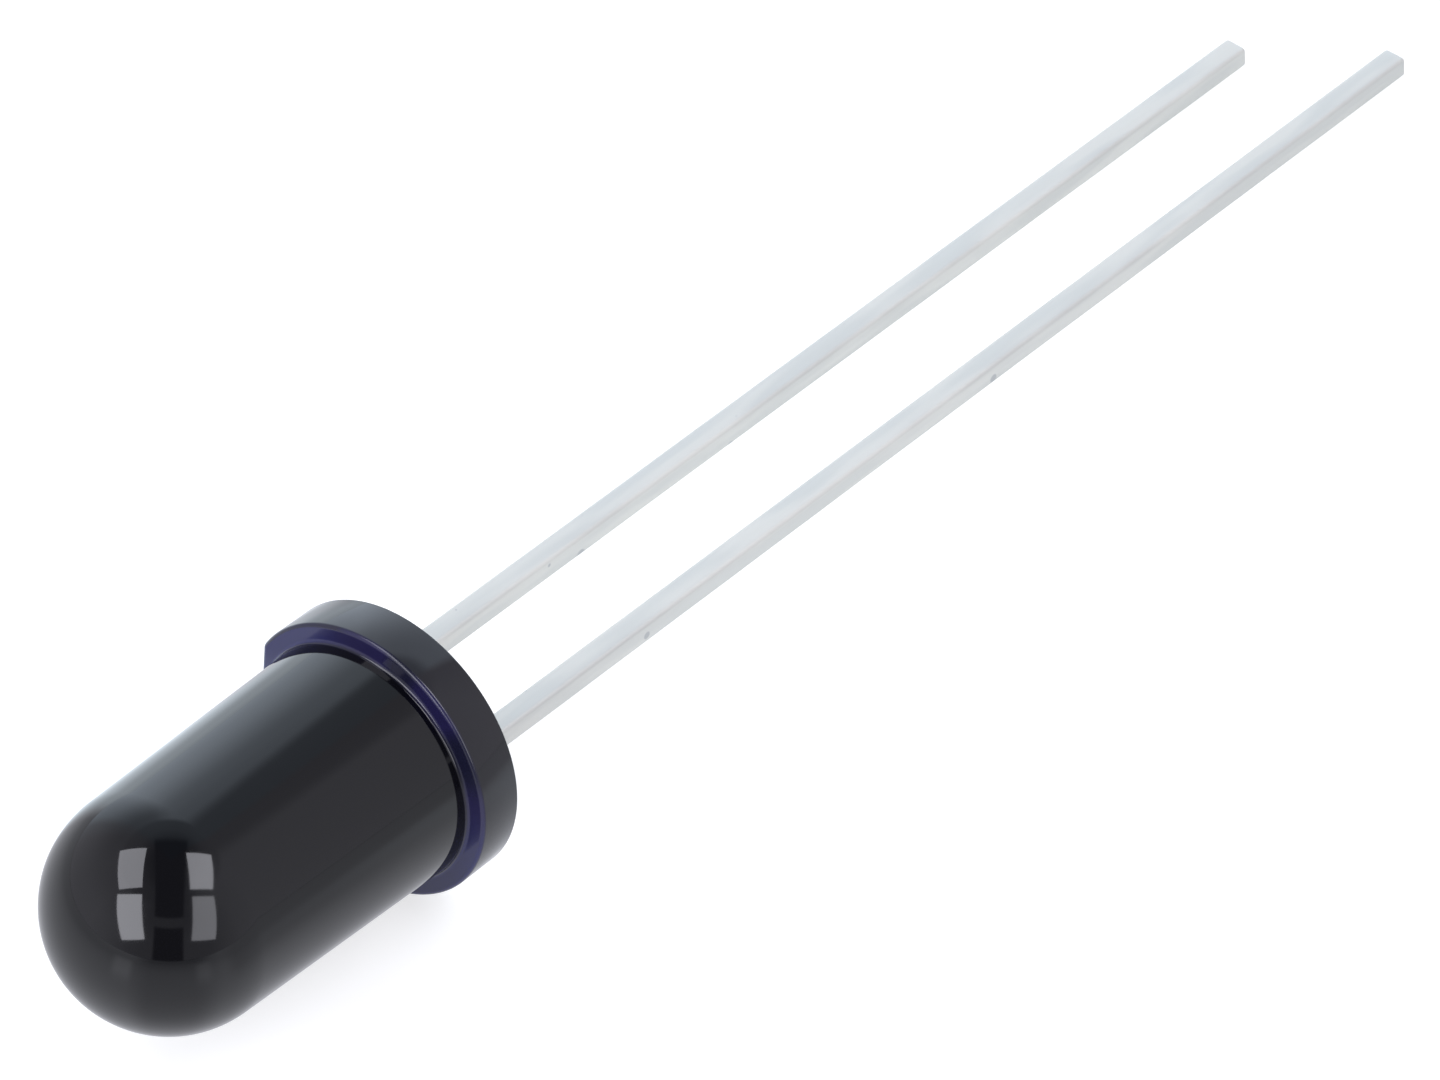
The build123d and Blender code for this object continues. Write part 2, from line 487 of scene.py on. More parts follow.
@dataclass(frozen=True)
class SiliconChip(Finish):
    """Polished silicon with its blue-black active area, its metal ring and its bond pad."""

    label: str = "silicon_chip"
    grain: Grain = Grain(2.0, 80.0, 0.3, 0.0006, (0.3, 1.0), (0.12, 0.3))
    active: Colour = (0.012, 0.02, 0.055)
    bare: Colour = (0.16, 0.165, 0.18)
    metal: Colour = (0.78, 0.77, 0.74)
    bare_metal: float = 0.35
    active_half: float = 0.44
    ring_half: float = 0.47
    pad_x: float = 0.35
    pad_half: float = 0.09
    top_height: Span = (4.72, 4.725)
    softness: float = 0.004

    def looks(self, ground: Ground) -> Inputs:
        """Say what the shader's sockets get."""
        sheet = ground.sheet
        parts = sheet.split(ground.point)

        def square(middle: float, half: float) -> Socket:
            """Mask a square of this half side, centred along the row at middle."""
            along = sheet.math("ABSOLUTE", sheet.math("SUBTRACT", parts["X"], middle))
            side = sheet.most(along, sheet.math("ABSOLUTE", parts["Y"]))
            return sheet.fall(side, half, half + self.softness)

        on_top = sheet.step(parts["Z"], *self.top_height)
        inner = square(0.0, self.active_half)
        ring = sheet.math("SUBTRACT", square(0.0, self.ring_half), inner)
        metal = sheet.times(sheet.most(ring, square(self.pad_x, self.pad_half)), on_top)
        colour = sheet.mix(sheet.times(inner, on_top), self.bare, self.active)
        return {
            "Base Color": sheet.mix(metal, colour, self.metal),
            "Metallic": sheet.most(metal, self.bare_metal),
        }


@dataclass(frozen=True)
class GoldWire(Finish):
    """Drawn gold with faint die lines."""

    label: str = "gold_wire"
    grain: Grain = Grain(9.0, 90.0, 0.5, 0.0008, (0.3, 1.1), (0.16, 0.34))
    bright: Colour = (1.0, 0.77, 0.34)
    worn: Colour = (0.84, 0.60, 0.25)

    def looks(self, ground: Ground) -> Inputs:
        """Say what the shader's sockets get."""
        lines = ground.uneven["Swell"]
        return {"Base Color": ground.sheet.mix(lines, self.worn, self.bright), "Metallic": 1.0}


def lies_at(part: Edge | Face, height: float) -> bool:
    """Tell whether an edge or a face of the upright drawing lies level at a height."""
    return all(abs(v.co.z - height) < CLOSE for v in part.verts)


@dataclass
class Drawing:
    """One bmesh under way, with the moves that the parts share."""

    def __post_init__(self) -> None:
        """Start an empty mesh."""
        self.mesh = bmesh.new()

    def rounded_square(self, centre: Vector, width: float, corner: float, segments: int) -> Face:
        """Add a square face round a centre, level, with the radius and segments of its corners given."""
        made = bmesh.ops.create_grid(self.mesh, x_segments=1, y_segments=1, size=width / 2)
        bmesh.ops.translate(self.mesh, verts=made["verts"], vec=centre)
        self.bevel(made["verts"], corner, segments, "VERTICES")
        return min(self.mesh.faces, key=lambda f: (f.calc_center_median() - centre).length)

    def bevel(self, parts: list[Any], width: float, segments: int, affect: str = "EDGES") -> None:
        """Round edges, or corners where affect is VERTICES."""
        shape = {"offset": width, "offset_type": "OFFSET", "segments": segments, "profile": 0.5}
        bmesh.ops.bevel(self.mesh, geom=parts, affect=affect, material=-1, clamp_overlap=True, **shape)

    def cut(self, point: Vector, normal: Vector) -> list[Edge]:
        """Cut off what lies beyond a plane, and give the edges along the cut."""
        everything = self.mesh.verts[:] + self.mesh.edges[:] + self.mesh.faces[:]
        plane = {"plane_co": point, "plane_no": normal, "dist": SNAP}
        made = bmesh.ops.bisect_plane(self.mesh, geom=everything, clear_outer=True, **plane)
        return [g for g in made["geom_cut"] if isinstance(g, Edge)]

    def _move_new(self, made: list[Any], move: Any) -> set[Vert]:
        """Move the vertices among what an operator made, and give them."""
        moved = [g for g in made if isinstance(g, Vert)]
        bmesh.ops.translate(self.mesh, verts=moved, vec=move)
        return set(moved)

    def push(self, face: Face, move: Triple, keep: bool = False) -> Face:
        """Extrude a face and give the new one; keep leaves the first as the other end."""
        made = bmesh.ops.extrude_face_region(self.mesh, geom=[face])["geom"]
        self._move_new(made, move)
        if not keep:
            self.open([face])
        return next(g for g in made if isinstance(g, Face))

    def draw_out(self, loop: list[Edge], height: float) -> list[Edge]:
        """Extrude a loop of edges along Z and give the new loop."""
        made = bmesh.ops.extrude_edge_only(self.mesh, edges=loop)["geom"]
        moved = self._move_new(made, (0.0, 0.0, height))
        return [g for g in made if isinstance(g, Edge) and set(g.verts) <= moved]

    def open(self, faces: list[Face]) -> None:
        """Delete faces and keep their edges."""
        bmesh.ops.delete(self.mesh, geom=faces, context="FACES_ONLY")

    def scale_loop(self, loop: list[Edge], centre: Vector, factor: float) -> None:
        """Scale a loop of edges in X and Y about a point."""
        verts = list({v for e in loop for v in e.verts})
        space = Matrix.Translation(-centre)
        bmesh.ops.scale(self.mesh, vec=(factor, factor, 1.0), space=space, verts=verts)

    def fill(self, edges: list[Edge], up: float) -> list[Face]:
        """Fill a flat region between loops of edges, facing along Z if up is 1 and against it if -1."""
        made = bmesh.ops.triangle_fill(self.mesh, use_beauty=True, edges=edges, normal=(0.0, 0.0, up))
        return [g for g in made["geom"] if isinstance(g, Face)]

    def edge_band(self, faces: list[Face], width: float) -> None:
        """Inset a flat region, so that its shading stays flat up to a narrow band along its edges."""
        shape = {"thickness": width, "use_even_offset": True, "use_boundary": True}
        bmesh.ops.inset_region(self.mesh, faces=faces, **shape)

    def finished(self, name: str) -> Thing:
        """Turn the mesh into an object of the scene."""
        data = bpy.data.meshes.new(name)
        self.mesh.to_mesh(data)
        self.mesh.free()
        return place(name, data)

    def piece(self, name: str, body: str, slot: str, stands_for: str) -> Thing:
        """Close the mesh, lay it down into the row frame and make it a piece.

        Args:
            name: the piece's name.
            body: the CAD body it rides on.
            slot: the record's material slot; not used.
            stands_for: the CAD node it replaces.

        Returns:
            The piece.
        """
        bmesh.ops.recalc_face_normals(self.mesh, faces=self.mesh.faces)
        bmesh.ops.transform(self.mesh, matrix=POSE.matrix(), verts=self.mesh.verts)
        for face in self.mesh.faces:
            face.smooth = True
        piece = self.finished(name)
        weighted = piece.modifiers.new("area_weighted_shading", "WEIGHTED_NORMAL")
        weighted.mode = "FACE_AREA"
        weighted.keep_sharp = True
        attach(piece, body)
        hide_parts(stands_for)
        return piece


@dataclass
class ResinBody(Drawing):
    """The moulding: flange with its flat, drafted barrel, dome, and resin drawn down the leads."""

    height: float = 8.9
    root_radius: float = 2.5
    draft_degrees: float = 1.0
    flange_radius: float = 2.9
    flange_height: float = 1.0
    flat_distance: float = 2.6
    flat_corner: float = 0.2
    flat_corner_steps: int = 6
    front_edge: float = 0.08
    front_edge_steps: int = 8
    rear_edge: float = 0.035
    rear_edge_steps: int = 5
    root_fillet: float = 0.085
    root_fillet_steps: int = 8
    wall_lean_degrees: float = 0.7
    lead_pitch: float = 2.54
    lead_width: float = 0.5
    lead_corner: float = 0.09
    creep_width: float = 0.14
    creep_height: float = 0.15
    creep_lip: float = 0.012
    creep_steps: int = 8
    creep_corner_steps: int = 10
    rim_sides: int = 180
    barrel_sides: int = 288
    dome_steps: int = 56
    band: float = 0.006
    run_out_bands: float = 2.5

    def build(self) -> Thing:
        """Build the moulding as one closed mesh and give the piece."""
        rear, top = self._flange()
        self.edge_band(self.fill(top + self._barrel(), 1.0), self.band)
        self._seat(rear)
        return self.piece("resin_body", "root", "resin", "lens_body")

    def _flange(self) -> tuple[list[Edge], list[Edge]]:
        """Build the flange's wall with its roundings.

        Returns:
            The edges round its open rear, and those round its open front.
        """
        mesh = self.mesh
        bmesh.ops.create_circle(mesh, cap_ends=True, segments=self.rim_sides, radius=self.flange_radius)
        self.cut(Vector((-self.flat_distance, 0.0, 0.0)), Vector((-1.0, 0.0, 0.0)))
        corners = [v for v in mesh.verts if v.co.x < CLOSE - self.flat_distance]
        turn = math.acos(self.flat_distance / self.flange_radius)
        self.bevel(corners, self.flat_corner * math.tan(turn / 2), self.flat_corner_steps, "VERTICES")
        self.push(mesh.faces[:][0], (0.0, 0.0, self.flange_height), keep=True)
        lean = self.flange_height * math.tan(math.radians(self.wall_lean_degrees))
        rear = [v for v in mesh.verts if v.co.z < self.flange_height / 2]
        narrow = 1.0 - lean / self.flange_radius
        bmesh.ops.scale(mesh, vec=(narrow, narrow, 1.0), verts=rear)
        roundings = (
            (self.flange_height, self.front_edge, self.front_edge_steps),
            (0.0, self.rear_edge, self.rear_edge_steps),
        )
        for height, width, steps in roundings:
            self.bevel([e for e in mesh.edges if lies_at(e, height)], width, steps)
        lids = [
            next(f for f in mesh.faces if lies_at(f, height) and len(f.verts) > self.rim_sides / 2)
            for height in (0.0, self.flange_height)
        ]
        rims = [list(lid.edges) for lid in lids]
        self.open(lids)
        return rims[0], rims[1]

    def _barrel(self) -> list[Edge]:
        """Spin the barrel and the dome from one profile.

        Returns:
            The edges round its foot.
        """
        mesh = self.mesh
        sine, cosine = (f(math.radians(self.draft_degrees)) for f in (math.sin, math.cos))
        rise = self.height - self.flange_height
        dome = (self.root_radius * cosine - rise * sine) / (1.0 - sine)
        middle = self.height - dome
        quarter = math.radians(90.0 - self.draft_degrees)
        reach = self.root_fillet * math.tan(quarter / 2)
        toe = Vector((self.root_radius + reach, 0.0, self.flange_height))
        shoulder = Vector((dome * cosine, 0.0, middle + dome * sine))
        arcs = (
            (toe, toe + Vector((0.0, 0.0, self.root_fillet)), quarter, self.root_fillet_steps),
            (shoulder, Vector((0.0, 0.0, middle)), -quarter, self.dome_steps),
        )
        others = set(mesh.verts)
        profile: list[Vert] = []
        for start, centre, angle, steps in arcs:
            for number in range(steps + 1):
                turned = Matrix.Rotation(angle * number / steps, 3, "Y")
                profile.append(mesh.verts.new(centre + turned @ (start - centre)))
        profile[-1].co.x = 0.0
        geometry = profile + [mesh.edges.new(pair) for pair in zip(profile, profile[1:])]
        turns = {"angle": 2.0 * math.pi, "steps": self.barrel_sides, "use_merge": True}
        bmesh.ops.spin(mesh, geom=geometry, cent=(0.0, 0.0, 0.0), axis=(0.0, 0.0, 1.0), **turns)
        spun = [v for v in mesh.verts if v not in others]
        bmesh.ops.remove_doubles(mesh, verts=spun, dist=CLOSE)
        spun = [v for v in spun if v.is_valid]
        self._run_out(spun, reach)
        own = set(spun)
        foot = (e for e in mesh.edges if e.is_boundary and lies_at(e, self.flange_height))
        return [e for e in foot if set(e.verts) <= own]

    def _run_out(self, spun: list[Vert], reach: float) -> None:
        """Let the fillet at the barrel's root run out where the flange's flat leaves it less room.

        Args:
            spun: the vertices of the barrel.
            reach: how far the full fillet reaches from the root.
        """
        for vert in spun:
            if vert.co.z > self.flange_height + reach + CLOSE:
                continue
            outward = Vector((vert.co.x, vert.co.y, 0.0)).normalized()
            edge = (self.flat_distance - self.front_edge) / max(-outward.x, SNAP)
            room = edge - self.root_radius - self.run_out_bands * self.band
            if room < reach:
                root = outward * self.root_radius + Vector((0.0, 0.0, self.flange_height))
                vert.co = root + (vert.co - root) * (room / reach)

    def _seat(self, rear: list[Edge]) -> None:
        """Close the seating face, with resin drawn down round each lead.

        Args:
            rear: the edges round the flange's open rear.
        """
        wide = self.lead_width + 2 * self.creep_width
        corner = self.lead_corner + self.creep_width
        rims = list(rear)
        pulls = []
        for x in (-self.lead_pitch / 2, self.lead_pitch / 2):
            centre = Vector((x, 0.0, 0.0))
            face = self.rounded_square(centre, wide, corner, self.creep_corner_steps)
            edges = list(face.edges)
            self.open([face])
            rims += edges
            pulls.append((centre, edges))
        face_of_seat = self.fill(rims, -1.0)
        turns = [math.pi / 2 * number / self.creep_steps for number in range(self.creep_steps + 1)]
        for centre, edges in pulls:
            size = wide
            for before, turn in zip(turns, turns[1:]):
                edges = self.draw_out(edges, -self.creep_height * (math.cos(before) - math.cos(turn)))
                spread = self.creep_lip + (self.creep_width - self.creep_lip) * (1.0 - math.sin(turn))
                now = self.lead_width + 2 * spread
                self.scale_loop(edges, centre, now / size)
                size = now
            bmesh.ops.contextual_create(self.mesh, geom=edges)
        self.edge_band(face_of_seat, self.band)


class Polarity(Enum):
    """Which lead it is, by the side of the row it stands on."""

    CATHODE = -1
    ANODE = 1


@dataclass
class StampedLead(Drawing):
    """One lead: a square stem outside, and the stamped post that holds it in the resin."""

    polarity: Polarity
    length: float
    pitch: float = 2.54
    width: float = 0.5
    corner: float = 0.09
    corner_steps: int = 6
    tip_round: float = 0.07
    tip_steps: int = 4
    shear_degrees: float = 9.0
    anchor_bottom: float = 1.3
    anchor_top: float = 2.9
    anchor_reach: float = 0.4
    inner_reach: float = 0.7
    paddle_top: float = 4.4
    paddle_width: float = 1.5
    paddle_thickness: float = 0.4
    head_top: float = 4.1
    head_height: float = 0.55
    head_width: float = 0.75
    frame_gap: float = 0.35
    inner_start: float = 0.3
    ripple: float = 0.006
    ripple_step: float = 0.25
    ripple_start: float = 0.6
    ripples_per_mm: Triple = (1.3, 1.3, 0.55)
    ripple_shift: float = 7.0

    def build(self) -> Thing:
        """Build the lead as one closed mesh and give the piece."""
        name = self.polarity.name.lower() + "_lead"
        mouth = self._stem()
        foot = self._post()
        bmesh.ops.bridge_loops(self.mesh, edges=mouth + foot)
        return self.piece(name + "_plated", "root", "tinned_lead", name)

    @property
    def middle(self) -> float:
        """Where the stem stands along the row."""
        return self.polarity.value * self.pitch / 2

    def _stem(self) -> list[Edge]:
        """Build the stem from its sheared tip up into the resin.

        Returns:
            The edges round its upper end.
        """
        foot = Vector((self.middle, 0.0, -self.length))
        face = self.rounded_square(foot, self.width, self.corner, self.corner_steps)
        loop = list(face.edges)
        stretch = self.length + self.inner_start
        steps = round(stretch / self.ripple_step)
        for _ in range(steps):
            loop = self.draw_out(loop, stretch / steps)
        shear = math.radians(self.shear_degrees)
        slack = Vector((0.0, 0.0, math.tan(shear) * self.width / 2))
        rim = self.cut(foot + slack, Matrix.Rotation(shear, 3, "X") @ Vector((0.0, 0.0, -1.0)))
        lid = bmesh.ops.contextual_create(self.mesh, geom=rim)["faces"][0]
        self.bevel(list(lid.edges), self.tip_round, self.tip_steps)
        self._ripple()
        return [e for e in self.mesh.edges if e.is_boundary and e.verts[0].co.z > 0.0]

    def _ripple(self) -> None:
        """Let the plating stand a little unevenly on the stem."""
        shift = Vector((self.ripple_shift * self.polarity.value, 0.0, 0.0))
        for vert in self.mesh.verts:
            inside = min(1.0, max(0.0, -vert.co.z / self.ripple_start))
            from_axis = Vector((vert.co.x - self.middle, vert.co.y, 0.0))
            sample = Vector(along * often for along, often in zip(vert.co, self.ripples_per_mm))
            swell = noise.noise(sample + shift)
            vert.co -= from_axis.normalized() * self.ripple * inside * (0.5 + 0.5 * swell)

    def _outline(self) -> list[Span]:
        """Outline the post, along the row and up: its foot, and the cathode's paddle or the anode's head."""
        start, bottom, top = self.inner_start, self.anchor_bottom, self.anchor_top
        left, right = self.middle - self.width / 2, self.middle + self.width / 2
        foot = [(left, start), (right, start), (right, bottom)]
        half = self.paddle_width / 2
        if self.polarity is Polarity.CATHODE:
            shelf = self.paddle_top - self.paddle_thickness
            inner, outer = right + self.inner_reach, left - self.anchor_reach
            paddle = [(inner, bottom), (inner, top), (half, shelf), (-half, shelf)]
            return [*foot, *paddle, (outer, top), (outer, bottom), (left, bottom)]
        outer = right + self.anchor_reach
        near, under = half + self.frame_gap, self.head_top - self.head_height
        far = near + self.head_width
        head = [(far, under), (far, self.head_top), (near, self.head_top), (near, under), (left, under)]
        return [*foot, (outer, bottom), (outer, top), (right, top), (right, under), *head]

    def _post(self) -> list[Edge]:
        """Punch the post out of the strip.

        Returns:
            The edges round its open foot.
        """
        mesh = self.mesh
        corners = [mesh.verts.new((x, -self.width / 2, z)) for x, z in self._outline()]
        far_side = self.push(mesh.faces.new(corners), (0.0, self.width, 0.0), keep=True)
        bmesh.ops.recalc_face_normals(mesh, faces=mesh.faces)
        own = {f for v in (*corners, *far_side.verts) for f in v.link_faces}
        foot = next(f for f in own if lies_at(f, self.inner_start))
        edges = list(foot.edges)
        if self.polarity is Polarity.CATHODE:
            shelf = next(f for f in own if lies_at(f, self.paddle_top - self.paddle_thickness))
            block = self.push(shelf, (0.0, 0.0, self.paddle_thickness))
            walls = {f for e in block.edges for f in e.link_faces if f is not block}
            walls = sorted(walls, key=lambda f: f.normal.y)
            for wall in (walls[0], walls[-1]):
                shift = math.copysign((self.paddle_width - self.width) / 2, wall.normal.y)
                self.push(wall, (0.0, shift, 0.0))
        self.open([foot])
        return edges


@dataclass(frozen=True)
class FloorPaint:
    """Matt white that the camera sees as plain white, with the shadow on it.

    In mirrors it glows with a painted reflection of the table's sheen: lighter close to the part, towards
    the lit wall, behind the part and in two pools of light, darker towards the opening of the tent. Places
    are in millimetres from the dome's foot.
    """

    label: str = "floor_paint"
    paint: Colour = (0.62, 0.62, 0.62)
    camera_lift: float = 0.62
    foot_x: float = 6.5
    near: Span = (3.0, 40.0)
    near_level: Span = (0.67, 0.42)
    opening: Sector = (10.0, 30.0, 60.0, 84.0)
    opening_start: Span = (0.5, 4.0)
    opening_share: float = 0.33
    far: Span = (10.0, 90.0)
    far_share: float = 0.52
    side: Sector = (83.0, 95.0, 150.0, 160.0)
    side_near: Span = (6.0, 13.0)
    side_far: Span = (22.0, 44.0)
    side_share: Span = (0.29, 0.16)
    lit: Sector = (-146.0, -132.0, -116.0, -104.0)
    lit_lift: Span = (0.64, 1.0)
    lit_far: Span = (12.0, 60.0)
    # Painted pools of light, seen only in mirrors: a sector and its lift.
    pools: tuple[tuple[Sector, float], ...] = (
        ((-3.0, 4.0, 11.0, 17.0), 0.32),
        ((59.0, 66.0, 69.0, 77.0), 0.21),
    )
    pool_ring: Sector = (7.0, 15.0, 26.0, 60.0)
    behind: Span = (6.0, 13.0)
    behind_half: Span = (10.0, 20.0)
    behind_lift: float = 0.26
    behind_cool: float = 0.6
    mirror_paint: float = 0.22
    plain: Colour = (0.965, 0.98, 1.05)
    cool: Colour = (0.86, 0.97, 1.06)

    def material(self) -> bpy.types.Material:
        """Build the material and give it."""
        material, sheet = new_material(self.label)
        from_foot = {
            "Vector": sheet.add("TexCoord").outputs["Object"],
            "Scale": (1.0 / MM, 1.0 / MM, 0.0),
            "Location": (-self.foot_x, 0.0, 0.0),
        }
        local = sheet.add("Mapping", from_foot).outputs["Vector"]
        level, cool = self._painted_sheen(sheet, local)
        path = sheet.add("LightPath").outputs
        # Painted reflection: for mirrored rays the floor glows by the painted sheen, and its paint is
        # darker.
        mirrored = sheet.most(path["Is Glossy Ray"], path["Is Transmission Ray"])
        lift = sheet.plus(sheet.times(path["Is Camera Ray"], self.camera_lift), sheet.times(mirrored, level))
        colour = sheet.mix(mirrored, self.paint, (self.mirror_paint,) * 3)
        paint = sheet.add("BsdfDiffuse", {"Color": colour})
        tint = sheet.mix(mirrored, (1.0, 1.0, 1.0), sheet.mix(cool, self.plain, self.cool))
        glow = sheet.add("Emission", {"Color": tint, "Strength": lift})
        both = sheet.add("AddShader", {0: paint.outputs["BSDF"], 1: glow.outputs["Emission"]})
        sheet.add("OutputMaterial", {"Surface": both.outputs["Shader"]})
        return material

    def _painted_sheen(self, sheet: NodeSheet, local: Socket) -> tuple[Socket, Socket]:
        """Work out the painted sheen that mirrors show: painted light and shade laid out on the floor by
        place.

        Args:
            sheet: the material's sheet.
            local: the place on the floor, in millimetres from the dome's foot.

        Returns:
            How bright the floor glows, and how cool its light is.
        """
        parts = sheet.split(local)
        away = sheet.length(local)
        turn = sheet.math("ARCTAN2", parts["Y"], parts["X"])
        level = sheet.step(away, *self.near, *self.near_level)
        dark = sheet.times(sheet.sector(turn, self.opening), sheet.step(away, *self.opening_start))
        share = sheet.plus(self.opening_share, sheet.step(away, *self.far, 0.0, self.far_share))
        beside = sheet.times(sheet.sector(turn, self.side), sheet.step(away, *self.side_near))
        side_share = sheet.step(away, *self.side_far, *self.side_share)
        for mask, lost in ((dark, share), (beside, side_share)):
            level = sheet.times(level, sheet.math("SUBTRACT", 1.0, sheet.times(mask, lost)))
        rear = sheet.step(sheet.times(parts["X"], -1.0), *self.behind)
        rear = sheet.times(rear, sheet.fall(sheet.math("ABSOLUTE", parts["Y"]), *self.behind_half))
        lit = sheet.sector(turn, self.lit)
        pools = (sheet.times(sheet.sector(turn, edges), lift) for edges, lift in self.pools)
        gains = (
            sheet.times(rear, self.behind_lift),
            sheet.times(lit, sheet.step(away, *self.lit_far, *self.lit_lift)),
            sheet.times(sheet.most(*pools), sheet.band(away, self.pool_ring)),
        )
        for gain in gains:
            level = sheet.plus(level, gain)
        return level, sheet.most(lit, sheet.times(rear, self.behind_cool))


@dataclass(frozen=True)
class SoftPanel:
    """A soft rectangular lamp near the part, placed by its direction and turned out of facing it.

    Angles are in degrees. Its width and height are seen from the part at unit distance, and its brightness
    is its radiance.
    """

    label: str
    azimuth: float
    elevation: float
    roll: float
    tilt: float
    swing: float
    width: float
    height: float
    brightness: float
    tint: Colour = (0.985, 0.99, 1.07)

    def build(self, target: Vector, distance: float) -> None:
        """Add the lamp.

        Args:
            target: the point its direction starts from, in metres.
            distance: how far it stands from there, in metres.
        """
        away = direction(self.azimuth, self.elevation)
        side = Vector((0.0, 0.0, 1.0)).cross(away).normalized()
        side = Matrix.Rotation(math.radians(self.roll), 3, away) @ side
        up = Matrix.Rotation(math.radians(self.tilt), 3, side) @ away.cross(side)
        side = Matrix.Rotation(math.radians(self.swing), 3, up) @ side
        data = bpy.data.lights.new(self.label, "AREA")
        data.shape = "RECTANGLE"
        data.size, data.size_y = self.width * distance, self.height * distance
        data.energy = self.brightness * math.pi * data.size * data.size_y
        data.color = self.tint
        turned = Matrix((side, up, side.cross(up))).transposed().to_4x4()
        place(self.label, data, Matrix.Translation(target + away * distance) @ turned)


@dataclass(frozen=True)
class Surroundings:
    """The tent round the table: its walls by direction, and the opening at the camera.

    Each wall entry holds a direction in degrees, the brightness at the table, halfway up and above the
    backdrop's top edge, and how cool the light is. Each ceiling entry holds an elevation in degrees and the
    share of the brightness that is left there.
    """

    walls: tuple[tuple[float, float, float, float, float], ...] = (
        (-180.0, 1.70, 0.98, 0.42, 1.0),
        (-160.0, 1.65, 0.92, 0.42, 1.0),
        (-150.0, 1.62, 0.92, 0.42, 1.0),
        (-139.0, 1.72, 1.00, 0.44, 1.0),
        (-131.0, 1.88, 0.84, 0.45, 1.0),
        (-124.0, 1.58, 0.66, 0.45, 1.0),
        (-115.0, 1.35, 0.60, 0.45, 1.0),
        (-105.0, 1.15, 0.56, 0.44, 1.0),
        (-99.0, 0.80, 0.52, 0.42, 0.4),
        (-88.0, 0.72, 0.48, 0.42, 0.0),
        (-60.0, 0.74, 0.60, 0.42, 0.0),
        (-30.0, 0.80, 0.60, 0.42, 0.0),
        (-12.0, 0.68, 0.50, 0.36, 0.0),
        (8.0, 0.46, 0.38, 0.30, 0.0),
        (20.0, 0.39, 0.30, 0.27, 0.0),
        (62.0, 0.38, 0.28, 0.26, 0.0),
        (76.0, 0.40, 0.38, 0.34, 0.0),
        (90.0, 0.52, 0.50, 0.46, 0.0),
        (105.0, 0.63, 0.60, 0.52, 0.0),
        (126.0, 0.64, 0.64, 0.50, 0.0),
        (146.0, 0.66, 0.62, 0.46, 0.0),
        (158.0, 0.62, 0.55, 0.42, 0.0),
        (172.0, 0.50, 0.47, 0.41, 0.0),
        (178.0, 1.60, 0.95, 0.42, 1.0),
        (180.0, 1.70, 0.98, 0.42, 1.0),
    )
    ceiling: tuple[Span, ...] = (
        (-90.0, 1.0),
        (52.0, 1.0),
        (60.0, 0.90),
        (68.0, 0.60),
        (76.0, 0.38),
        (90.0, 0.34),
    )
    halfway: Span = (12.0, 44.0)
    top_edge: Span = (45.8, 51.6)
    least: float = 0.12
    gap_azimuth: float = 41.0
    gap_half: Span = (0.195, 0.24)
    gap_end: Span = (-0.40, -0.27)
    gap_level: float = 0.10
    bar: Sector = (0.47, 0.52, 0.60, 0.64)
    bar_level: float = 0.31
    horizon: Span = (-0.03, -0.005)
    below: float = 0.80
    scale: float = 2.2
    plain: Colour = (0.965, 0.965, 1.06)
    cool: Colour = (0.885, 1.0, 1.14)

    def build(self) -> None:
        """Make the world of the scene."""
        world = bpy.data.worlds.new("light_tent")
        bpy.context.scene.world = world
        world.use_nodes = True
        sheet = NodeSheet(world.node_tree)
        parts = sheet.split(sheet.add("TexCoord").outputs["Generated"])
        azimuth = sheet.math("ARCTAN2", parts["Y"], parts["X"])
        turn = sheet.plus(sheet.times(azimuth, 0.5 / math.pi), 0.5)
        rise = sheet.math("ARCSINE", parts["Z"])
        climb = sheet.plus(sheet.times(rise, 1.0 / math.pi), 0.5)
        low, middle, high, cool = (
            self._ramp(sheet, turn, [(w[0] / 360.0 + 0.5, w[column] / self.scale) for w in self.walls])
            for column in (1, 2, 3, 4)
        )
        fade = self._ramp(sheet, climb, [(height / 180.0 + 0.5, left) for height, left in self.ceiling])
        wall = sheet.blend(sheet.step(rise, *map(math.radians, self.halfway)), low, middle)
        wall = sheet.blend(sheet.step(rise, *map(math.radians, self.top_edge)), wall, high)
        wall = sheet.most(sheet.times(sheet.times(wall, fade), self.scale), self.least)
        bar = sheet.blend(sheet.band(parts["Z"], self.bar), self.gap_level, self.bar_level)
        wall = sheet.blend(self._gap(sheet, parts), wall, bar)
        level = sheet.blend(sheet.step(parts["Z"], *self.horizon), self.below, wall)
        tint = sheet.mix(sheet.times(cool, self.scale), self.plain, self.cool)
        tent = sheet.add("Background", {"Color": tint, "Strength": level})
        white = sheet.add("Background", {"Color": (1.0, 1.0, 1.0, 1.0), "Strength": 1.0})
        seen = sheet.add("LightPath").outputs["Is Camera Ray"]
        both = sheet.add("MixShader", {0: seen, 1: tent.outputs[0], 2: white.outputs[0]})
        sheet.add("OutputWorld", {"Surface": both.outputs["Shader"]})

    def _gap(self, sheet: NodeSheet, parts: Any) -> Socket:
        """Mask the gap at the camera, a band of one width that runs up and over the top."""
        cosine, sine, _ = direction(self.gap_azimuth, 0.0)
        ahead = sheet.plus(sheet.times(parts["X"], cosine), sheet.times(parts["Y"], sine))
        beside = sheet.math("SUBTRACT", sheet.times(parts["X"], sine), sheet.times(parts["Y"], cosine))
        inside = sheet.fall(sheet.math("ABSOLUTE", beside), *self.gap_half)
        return sheet.times(inside, sheet.step(ahead, *self.gap_end))

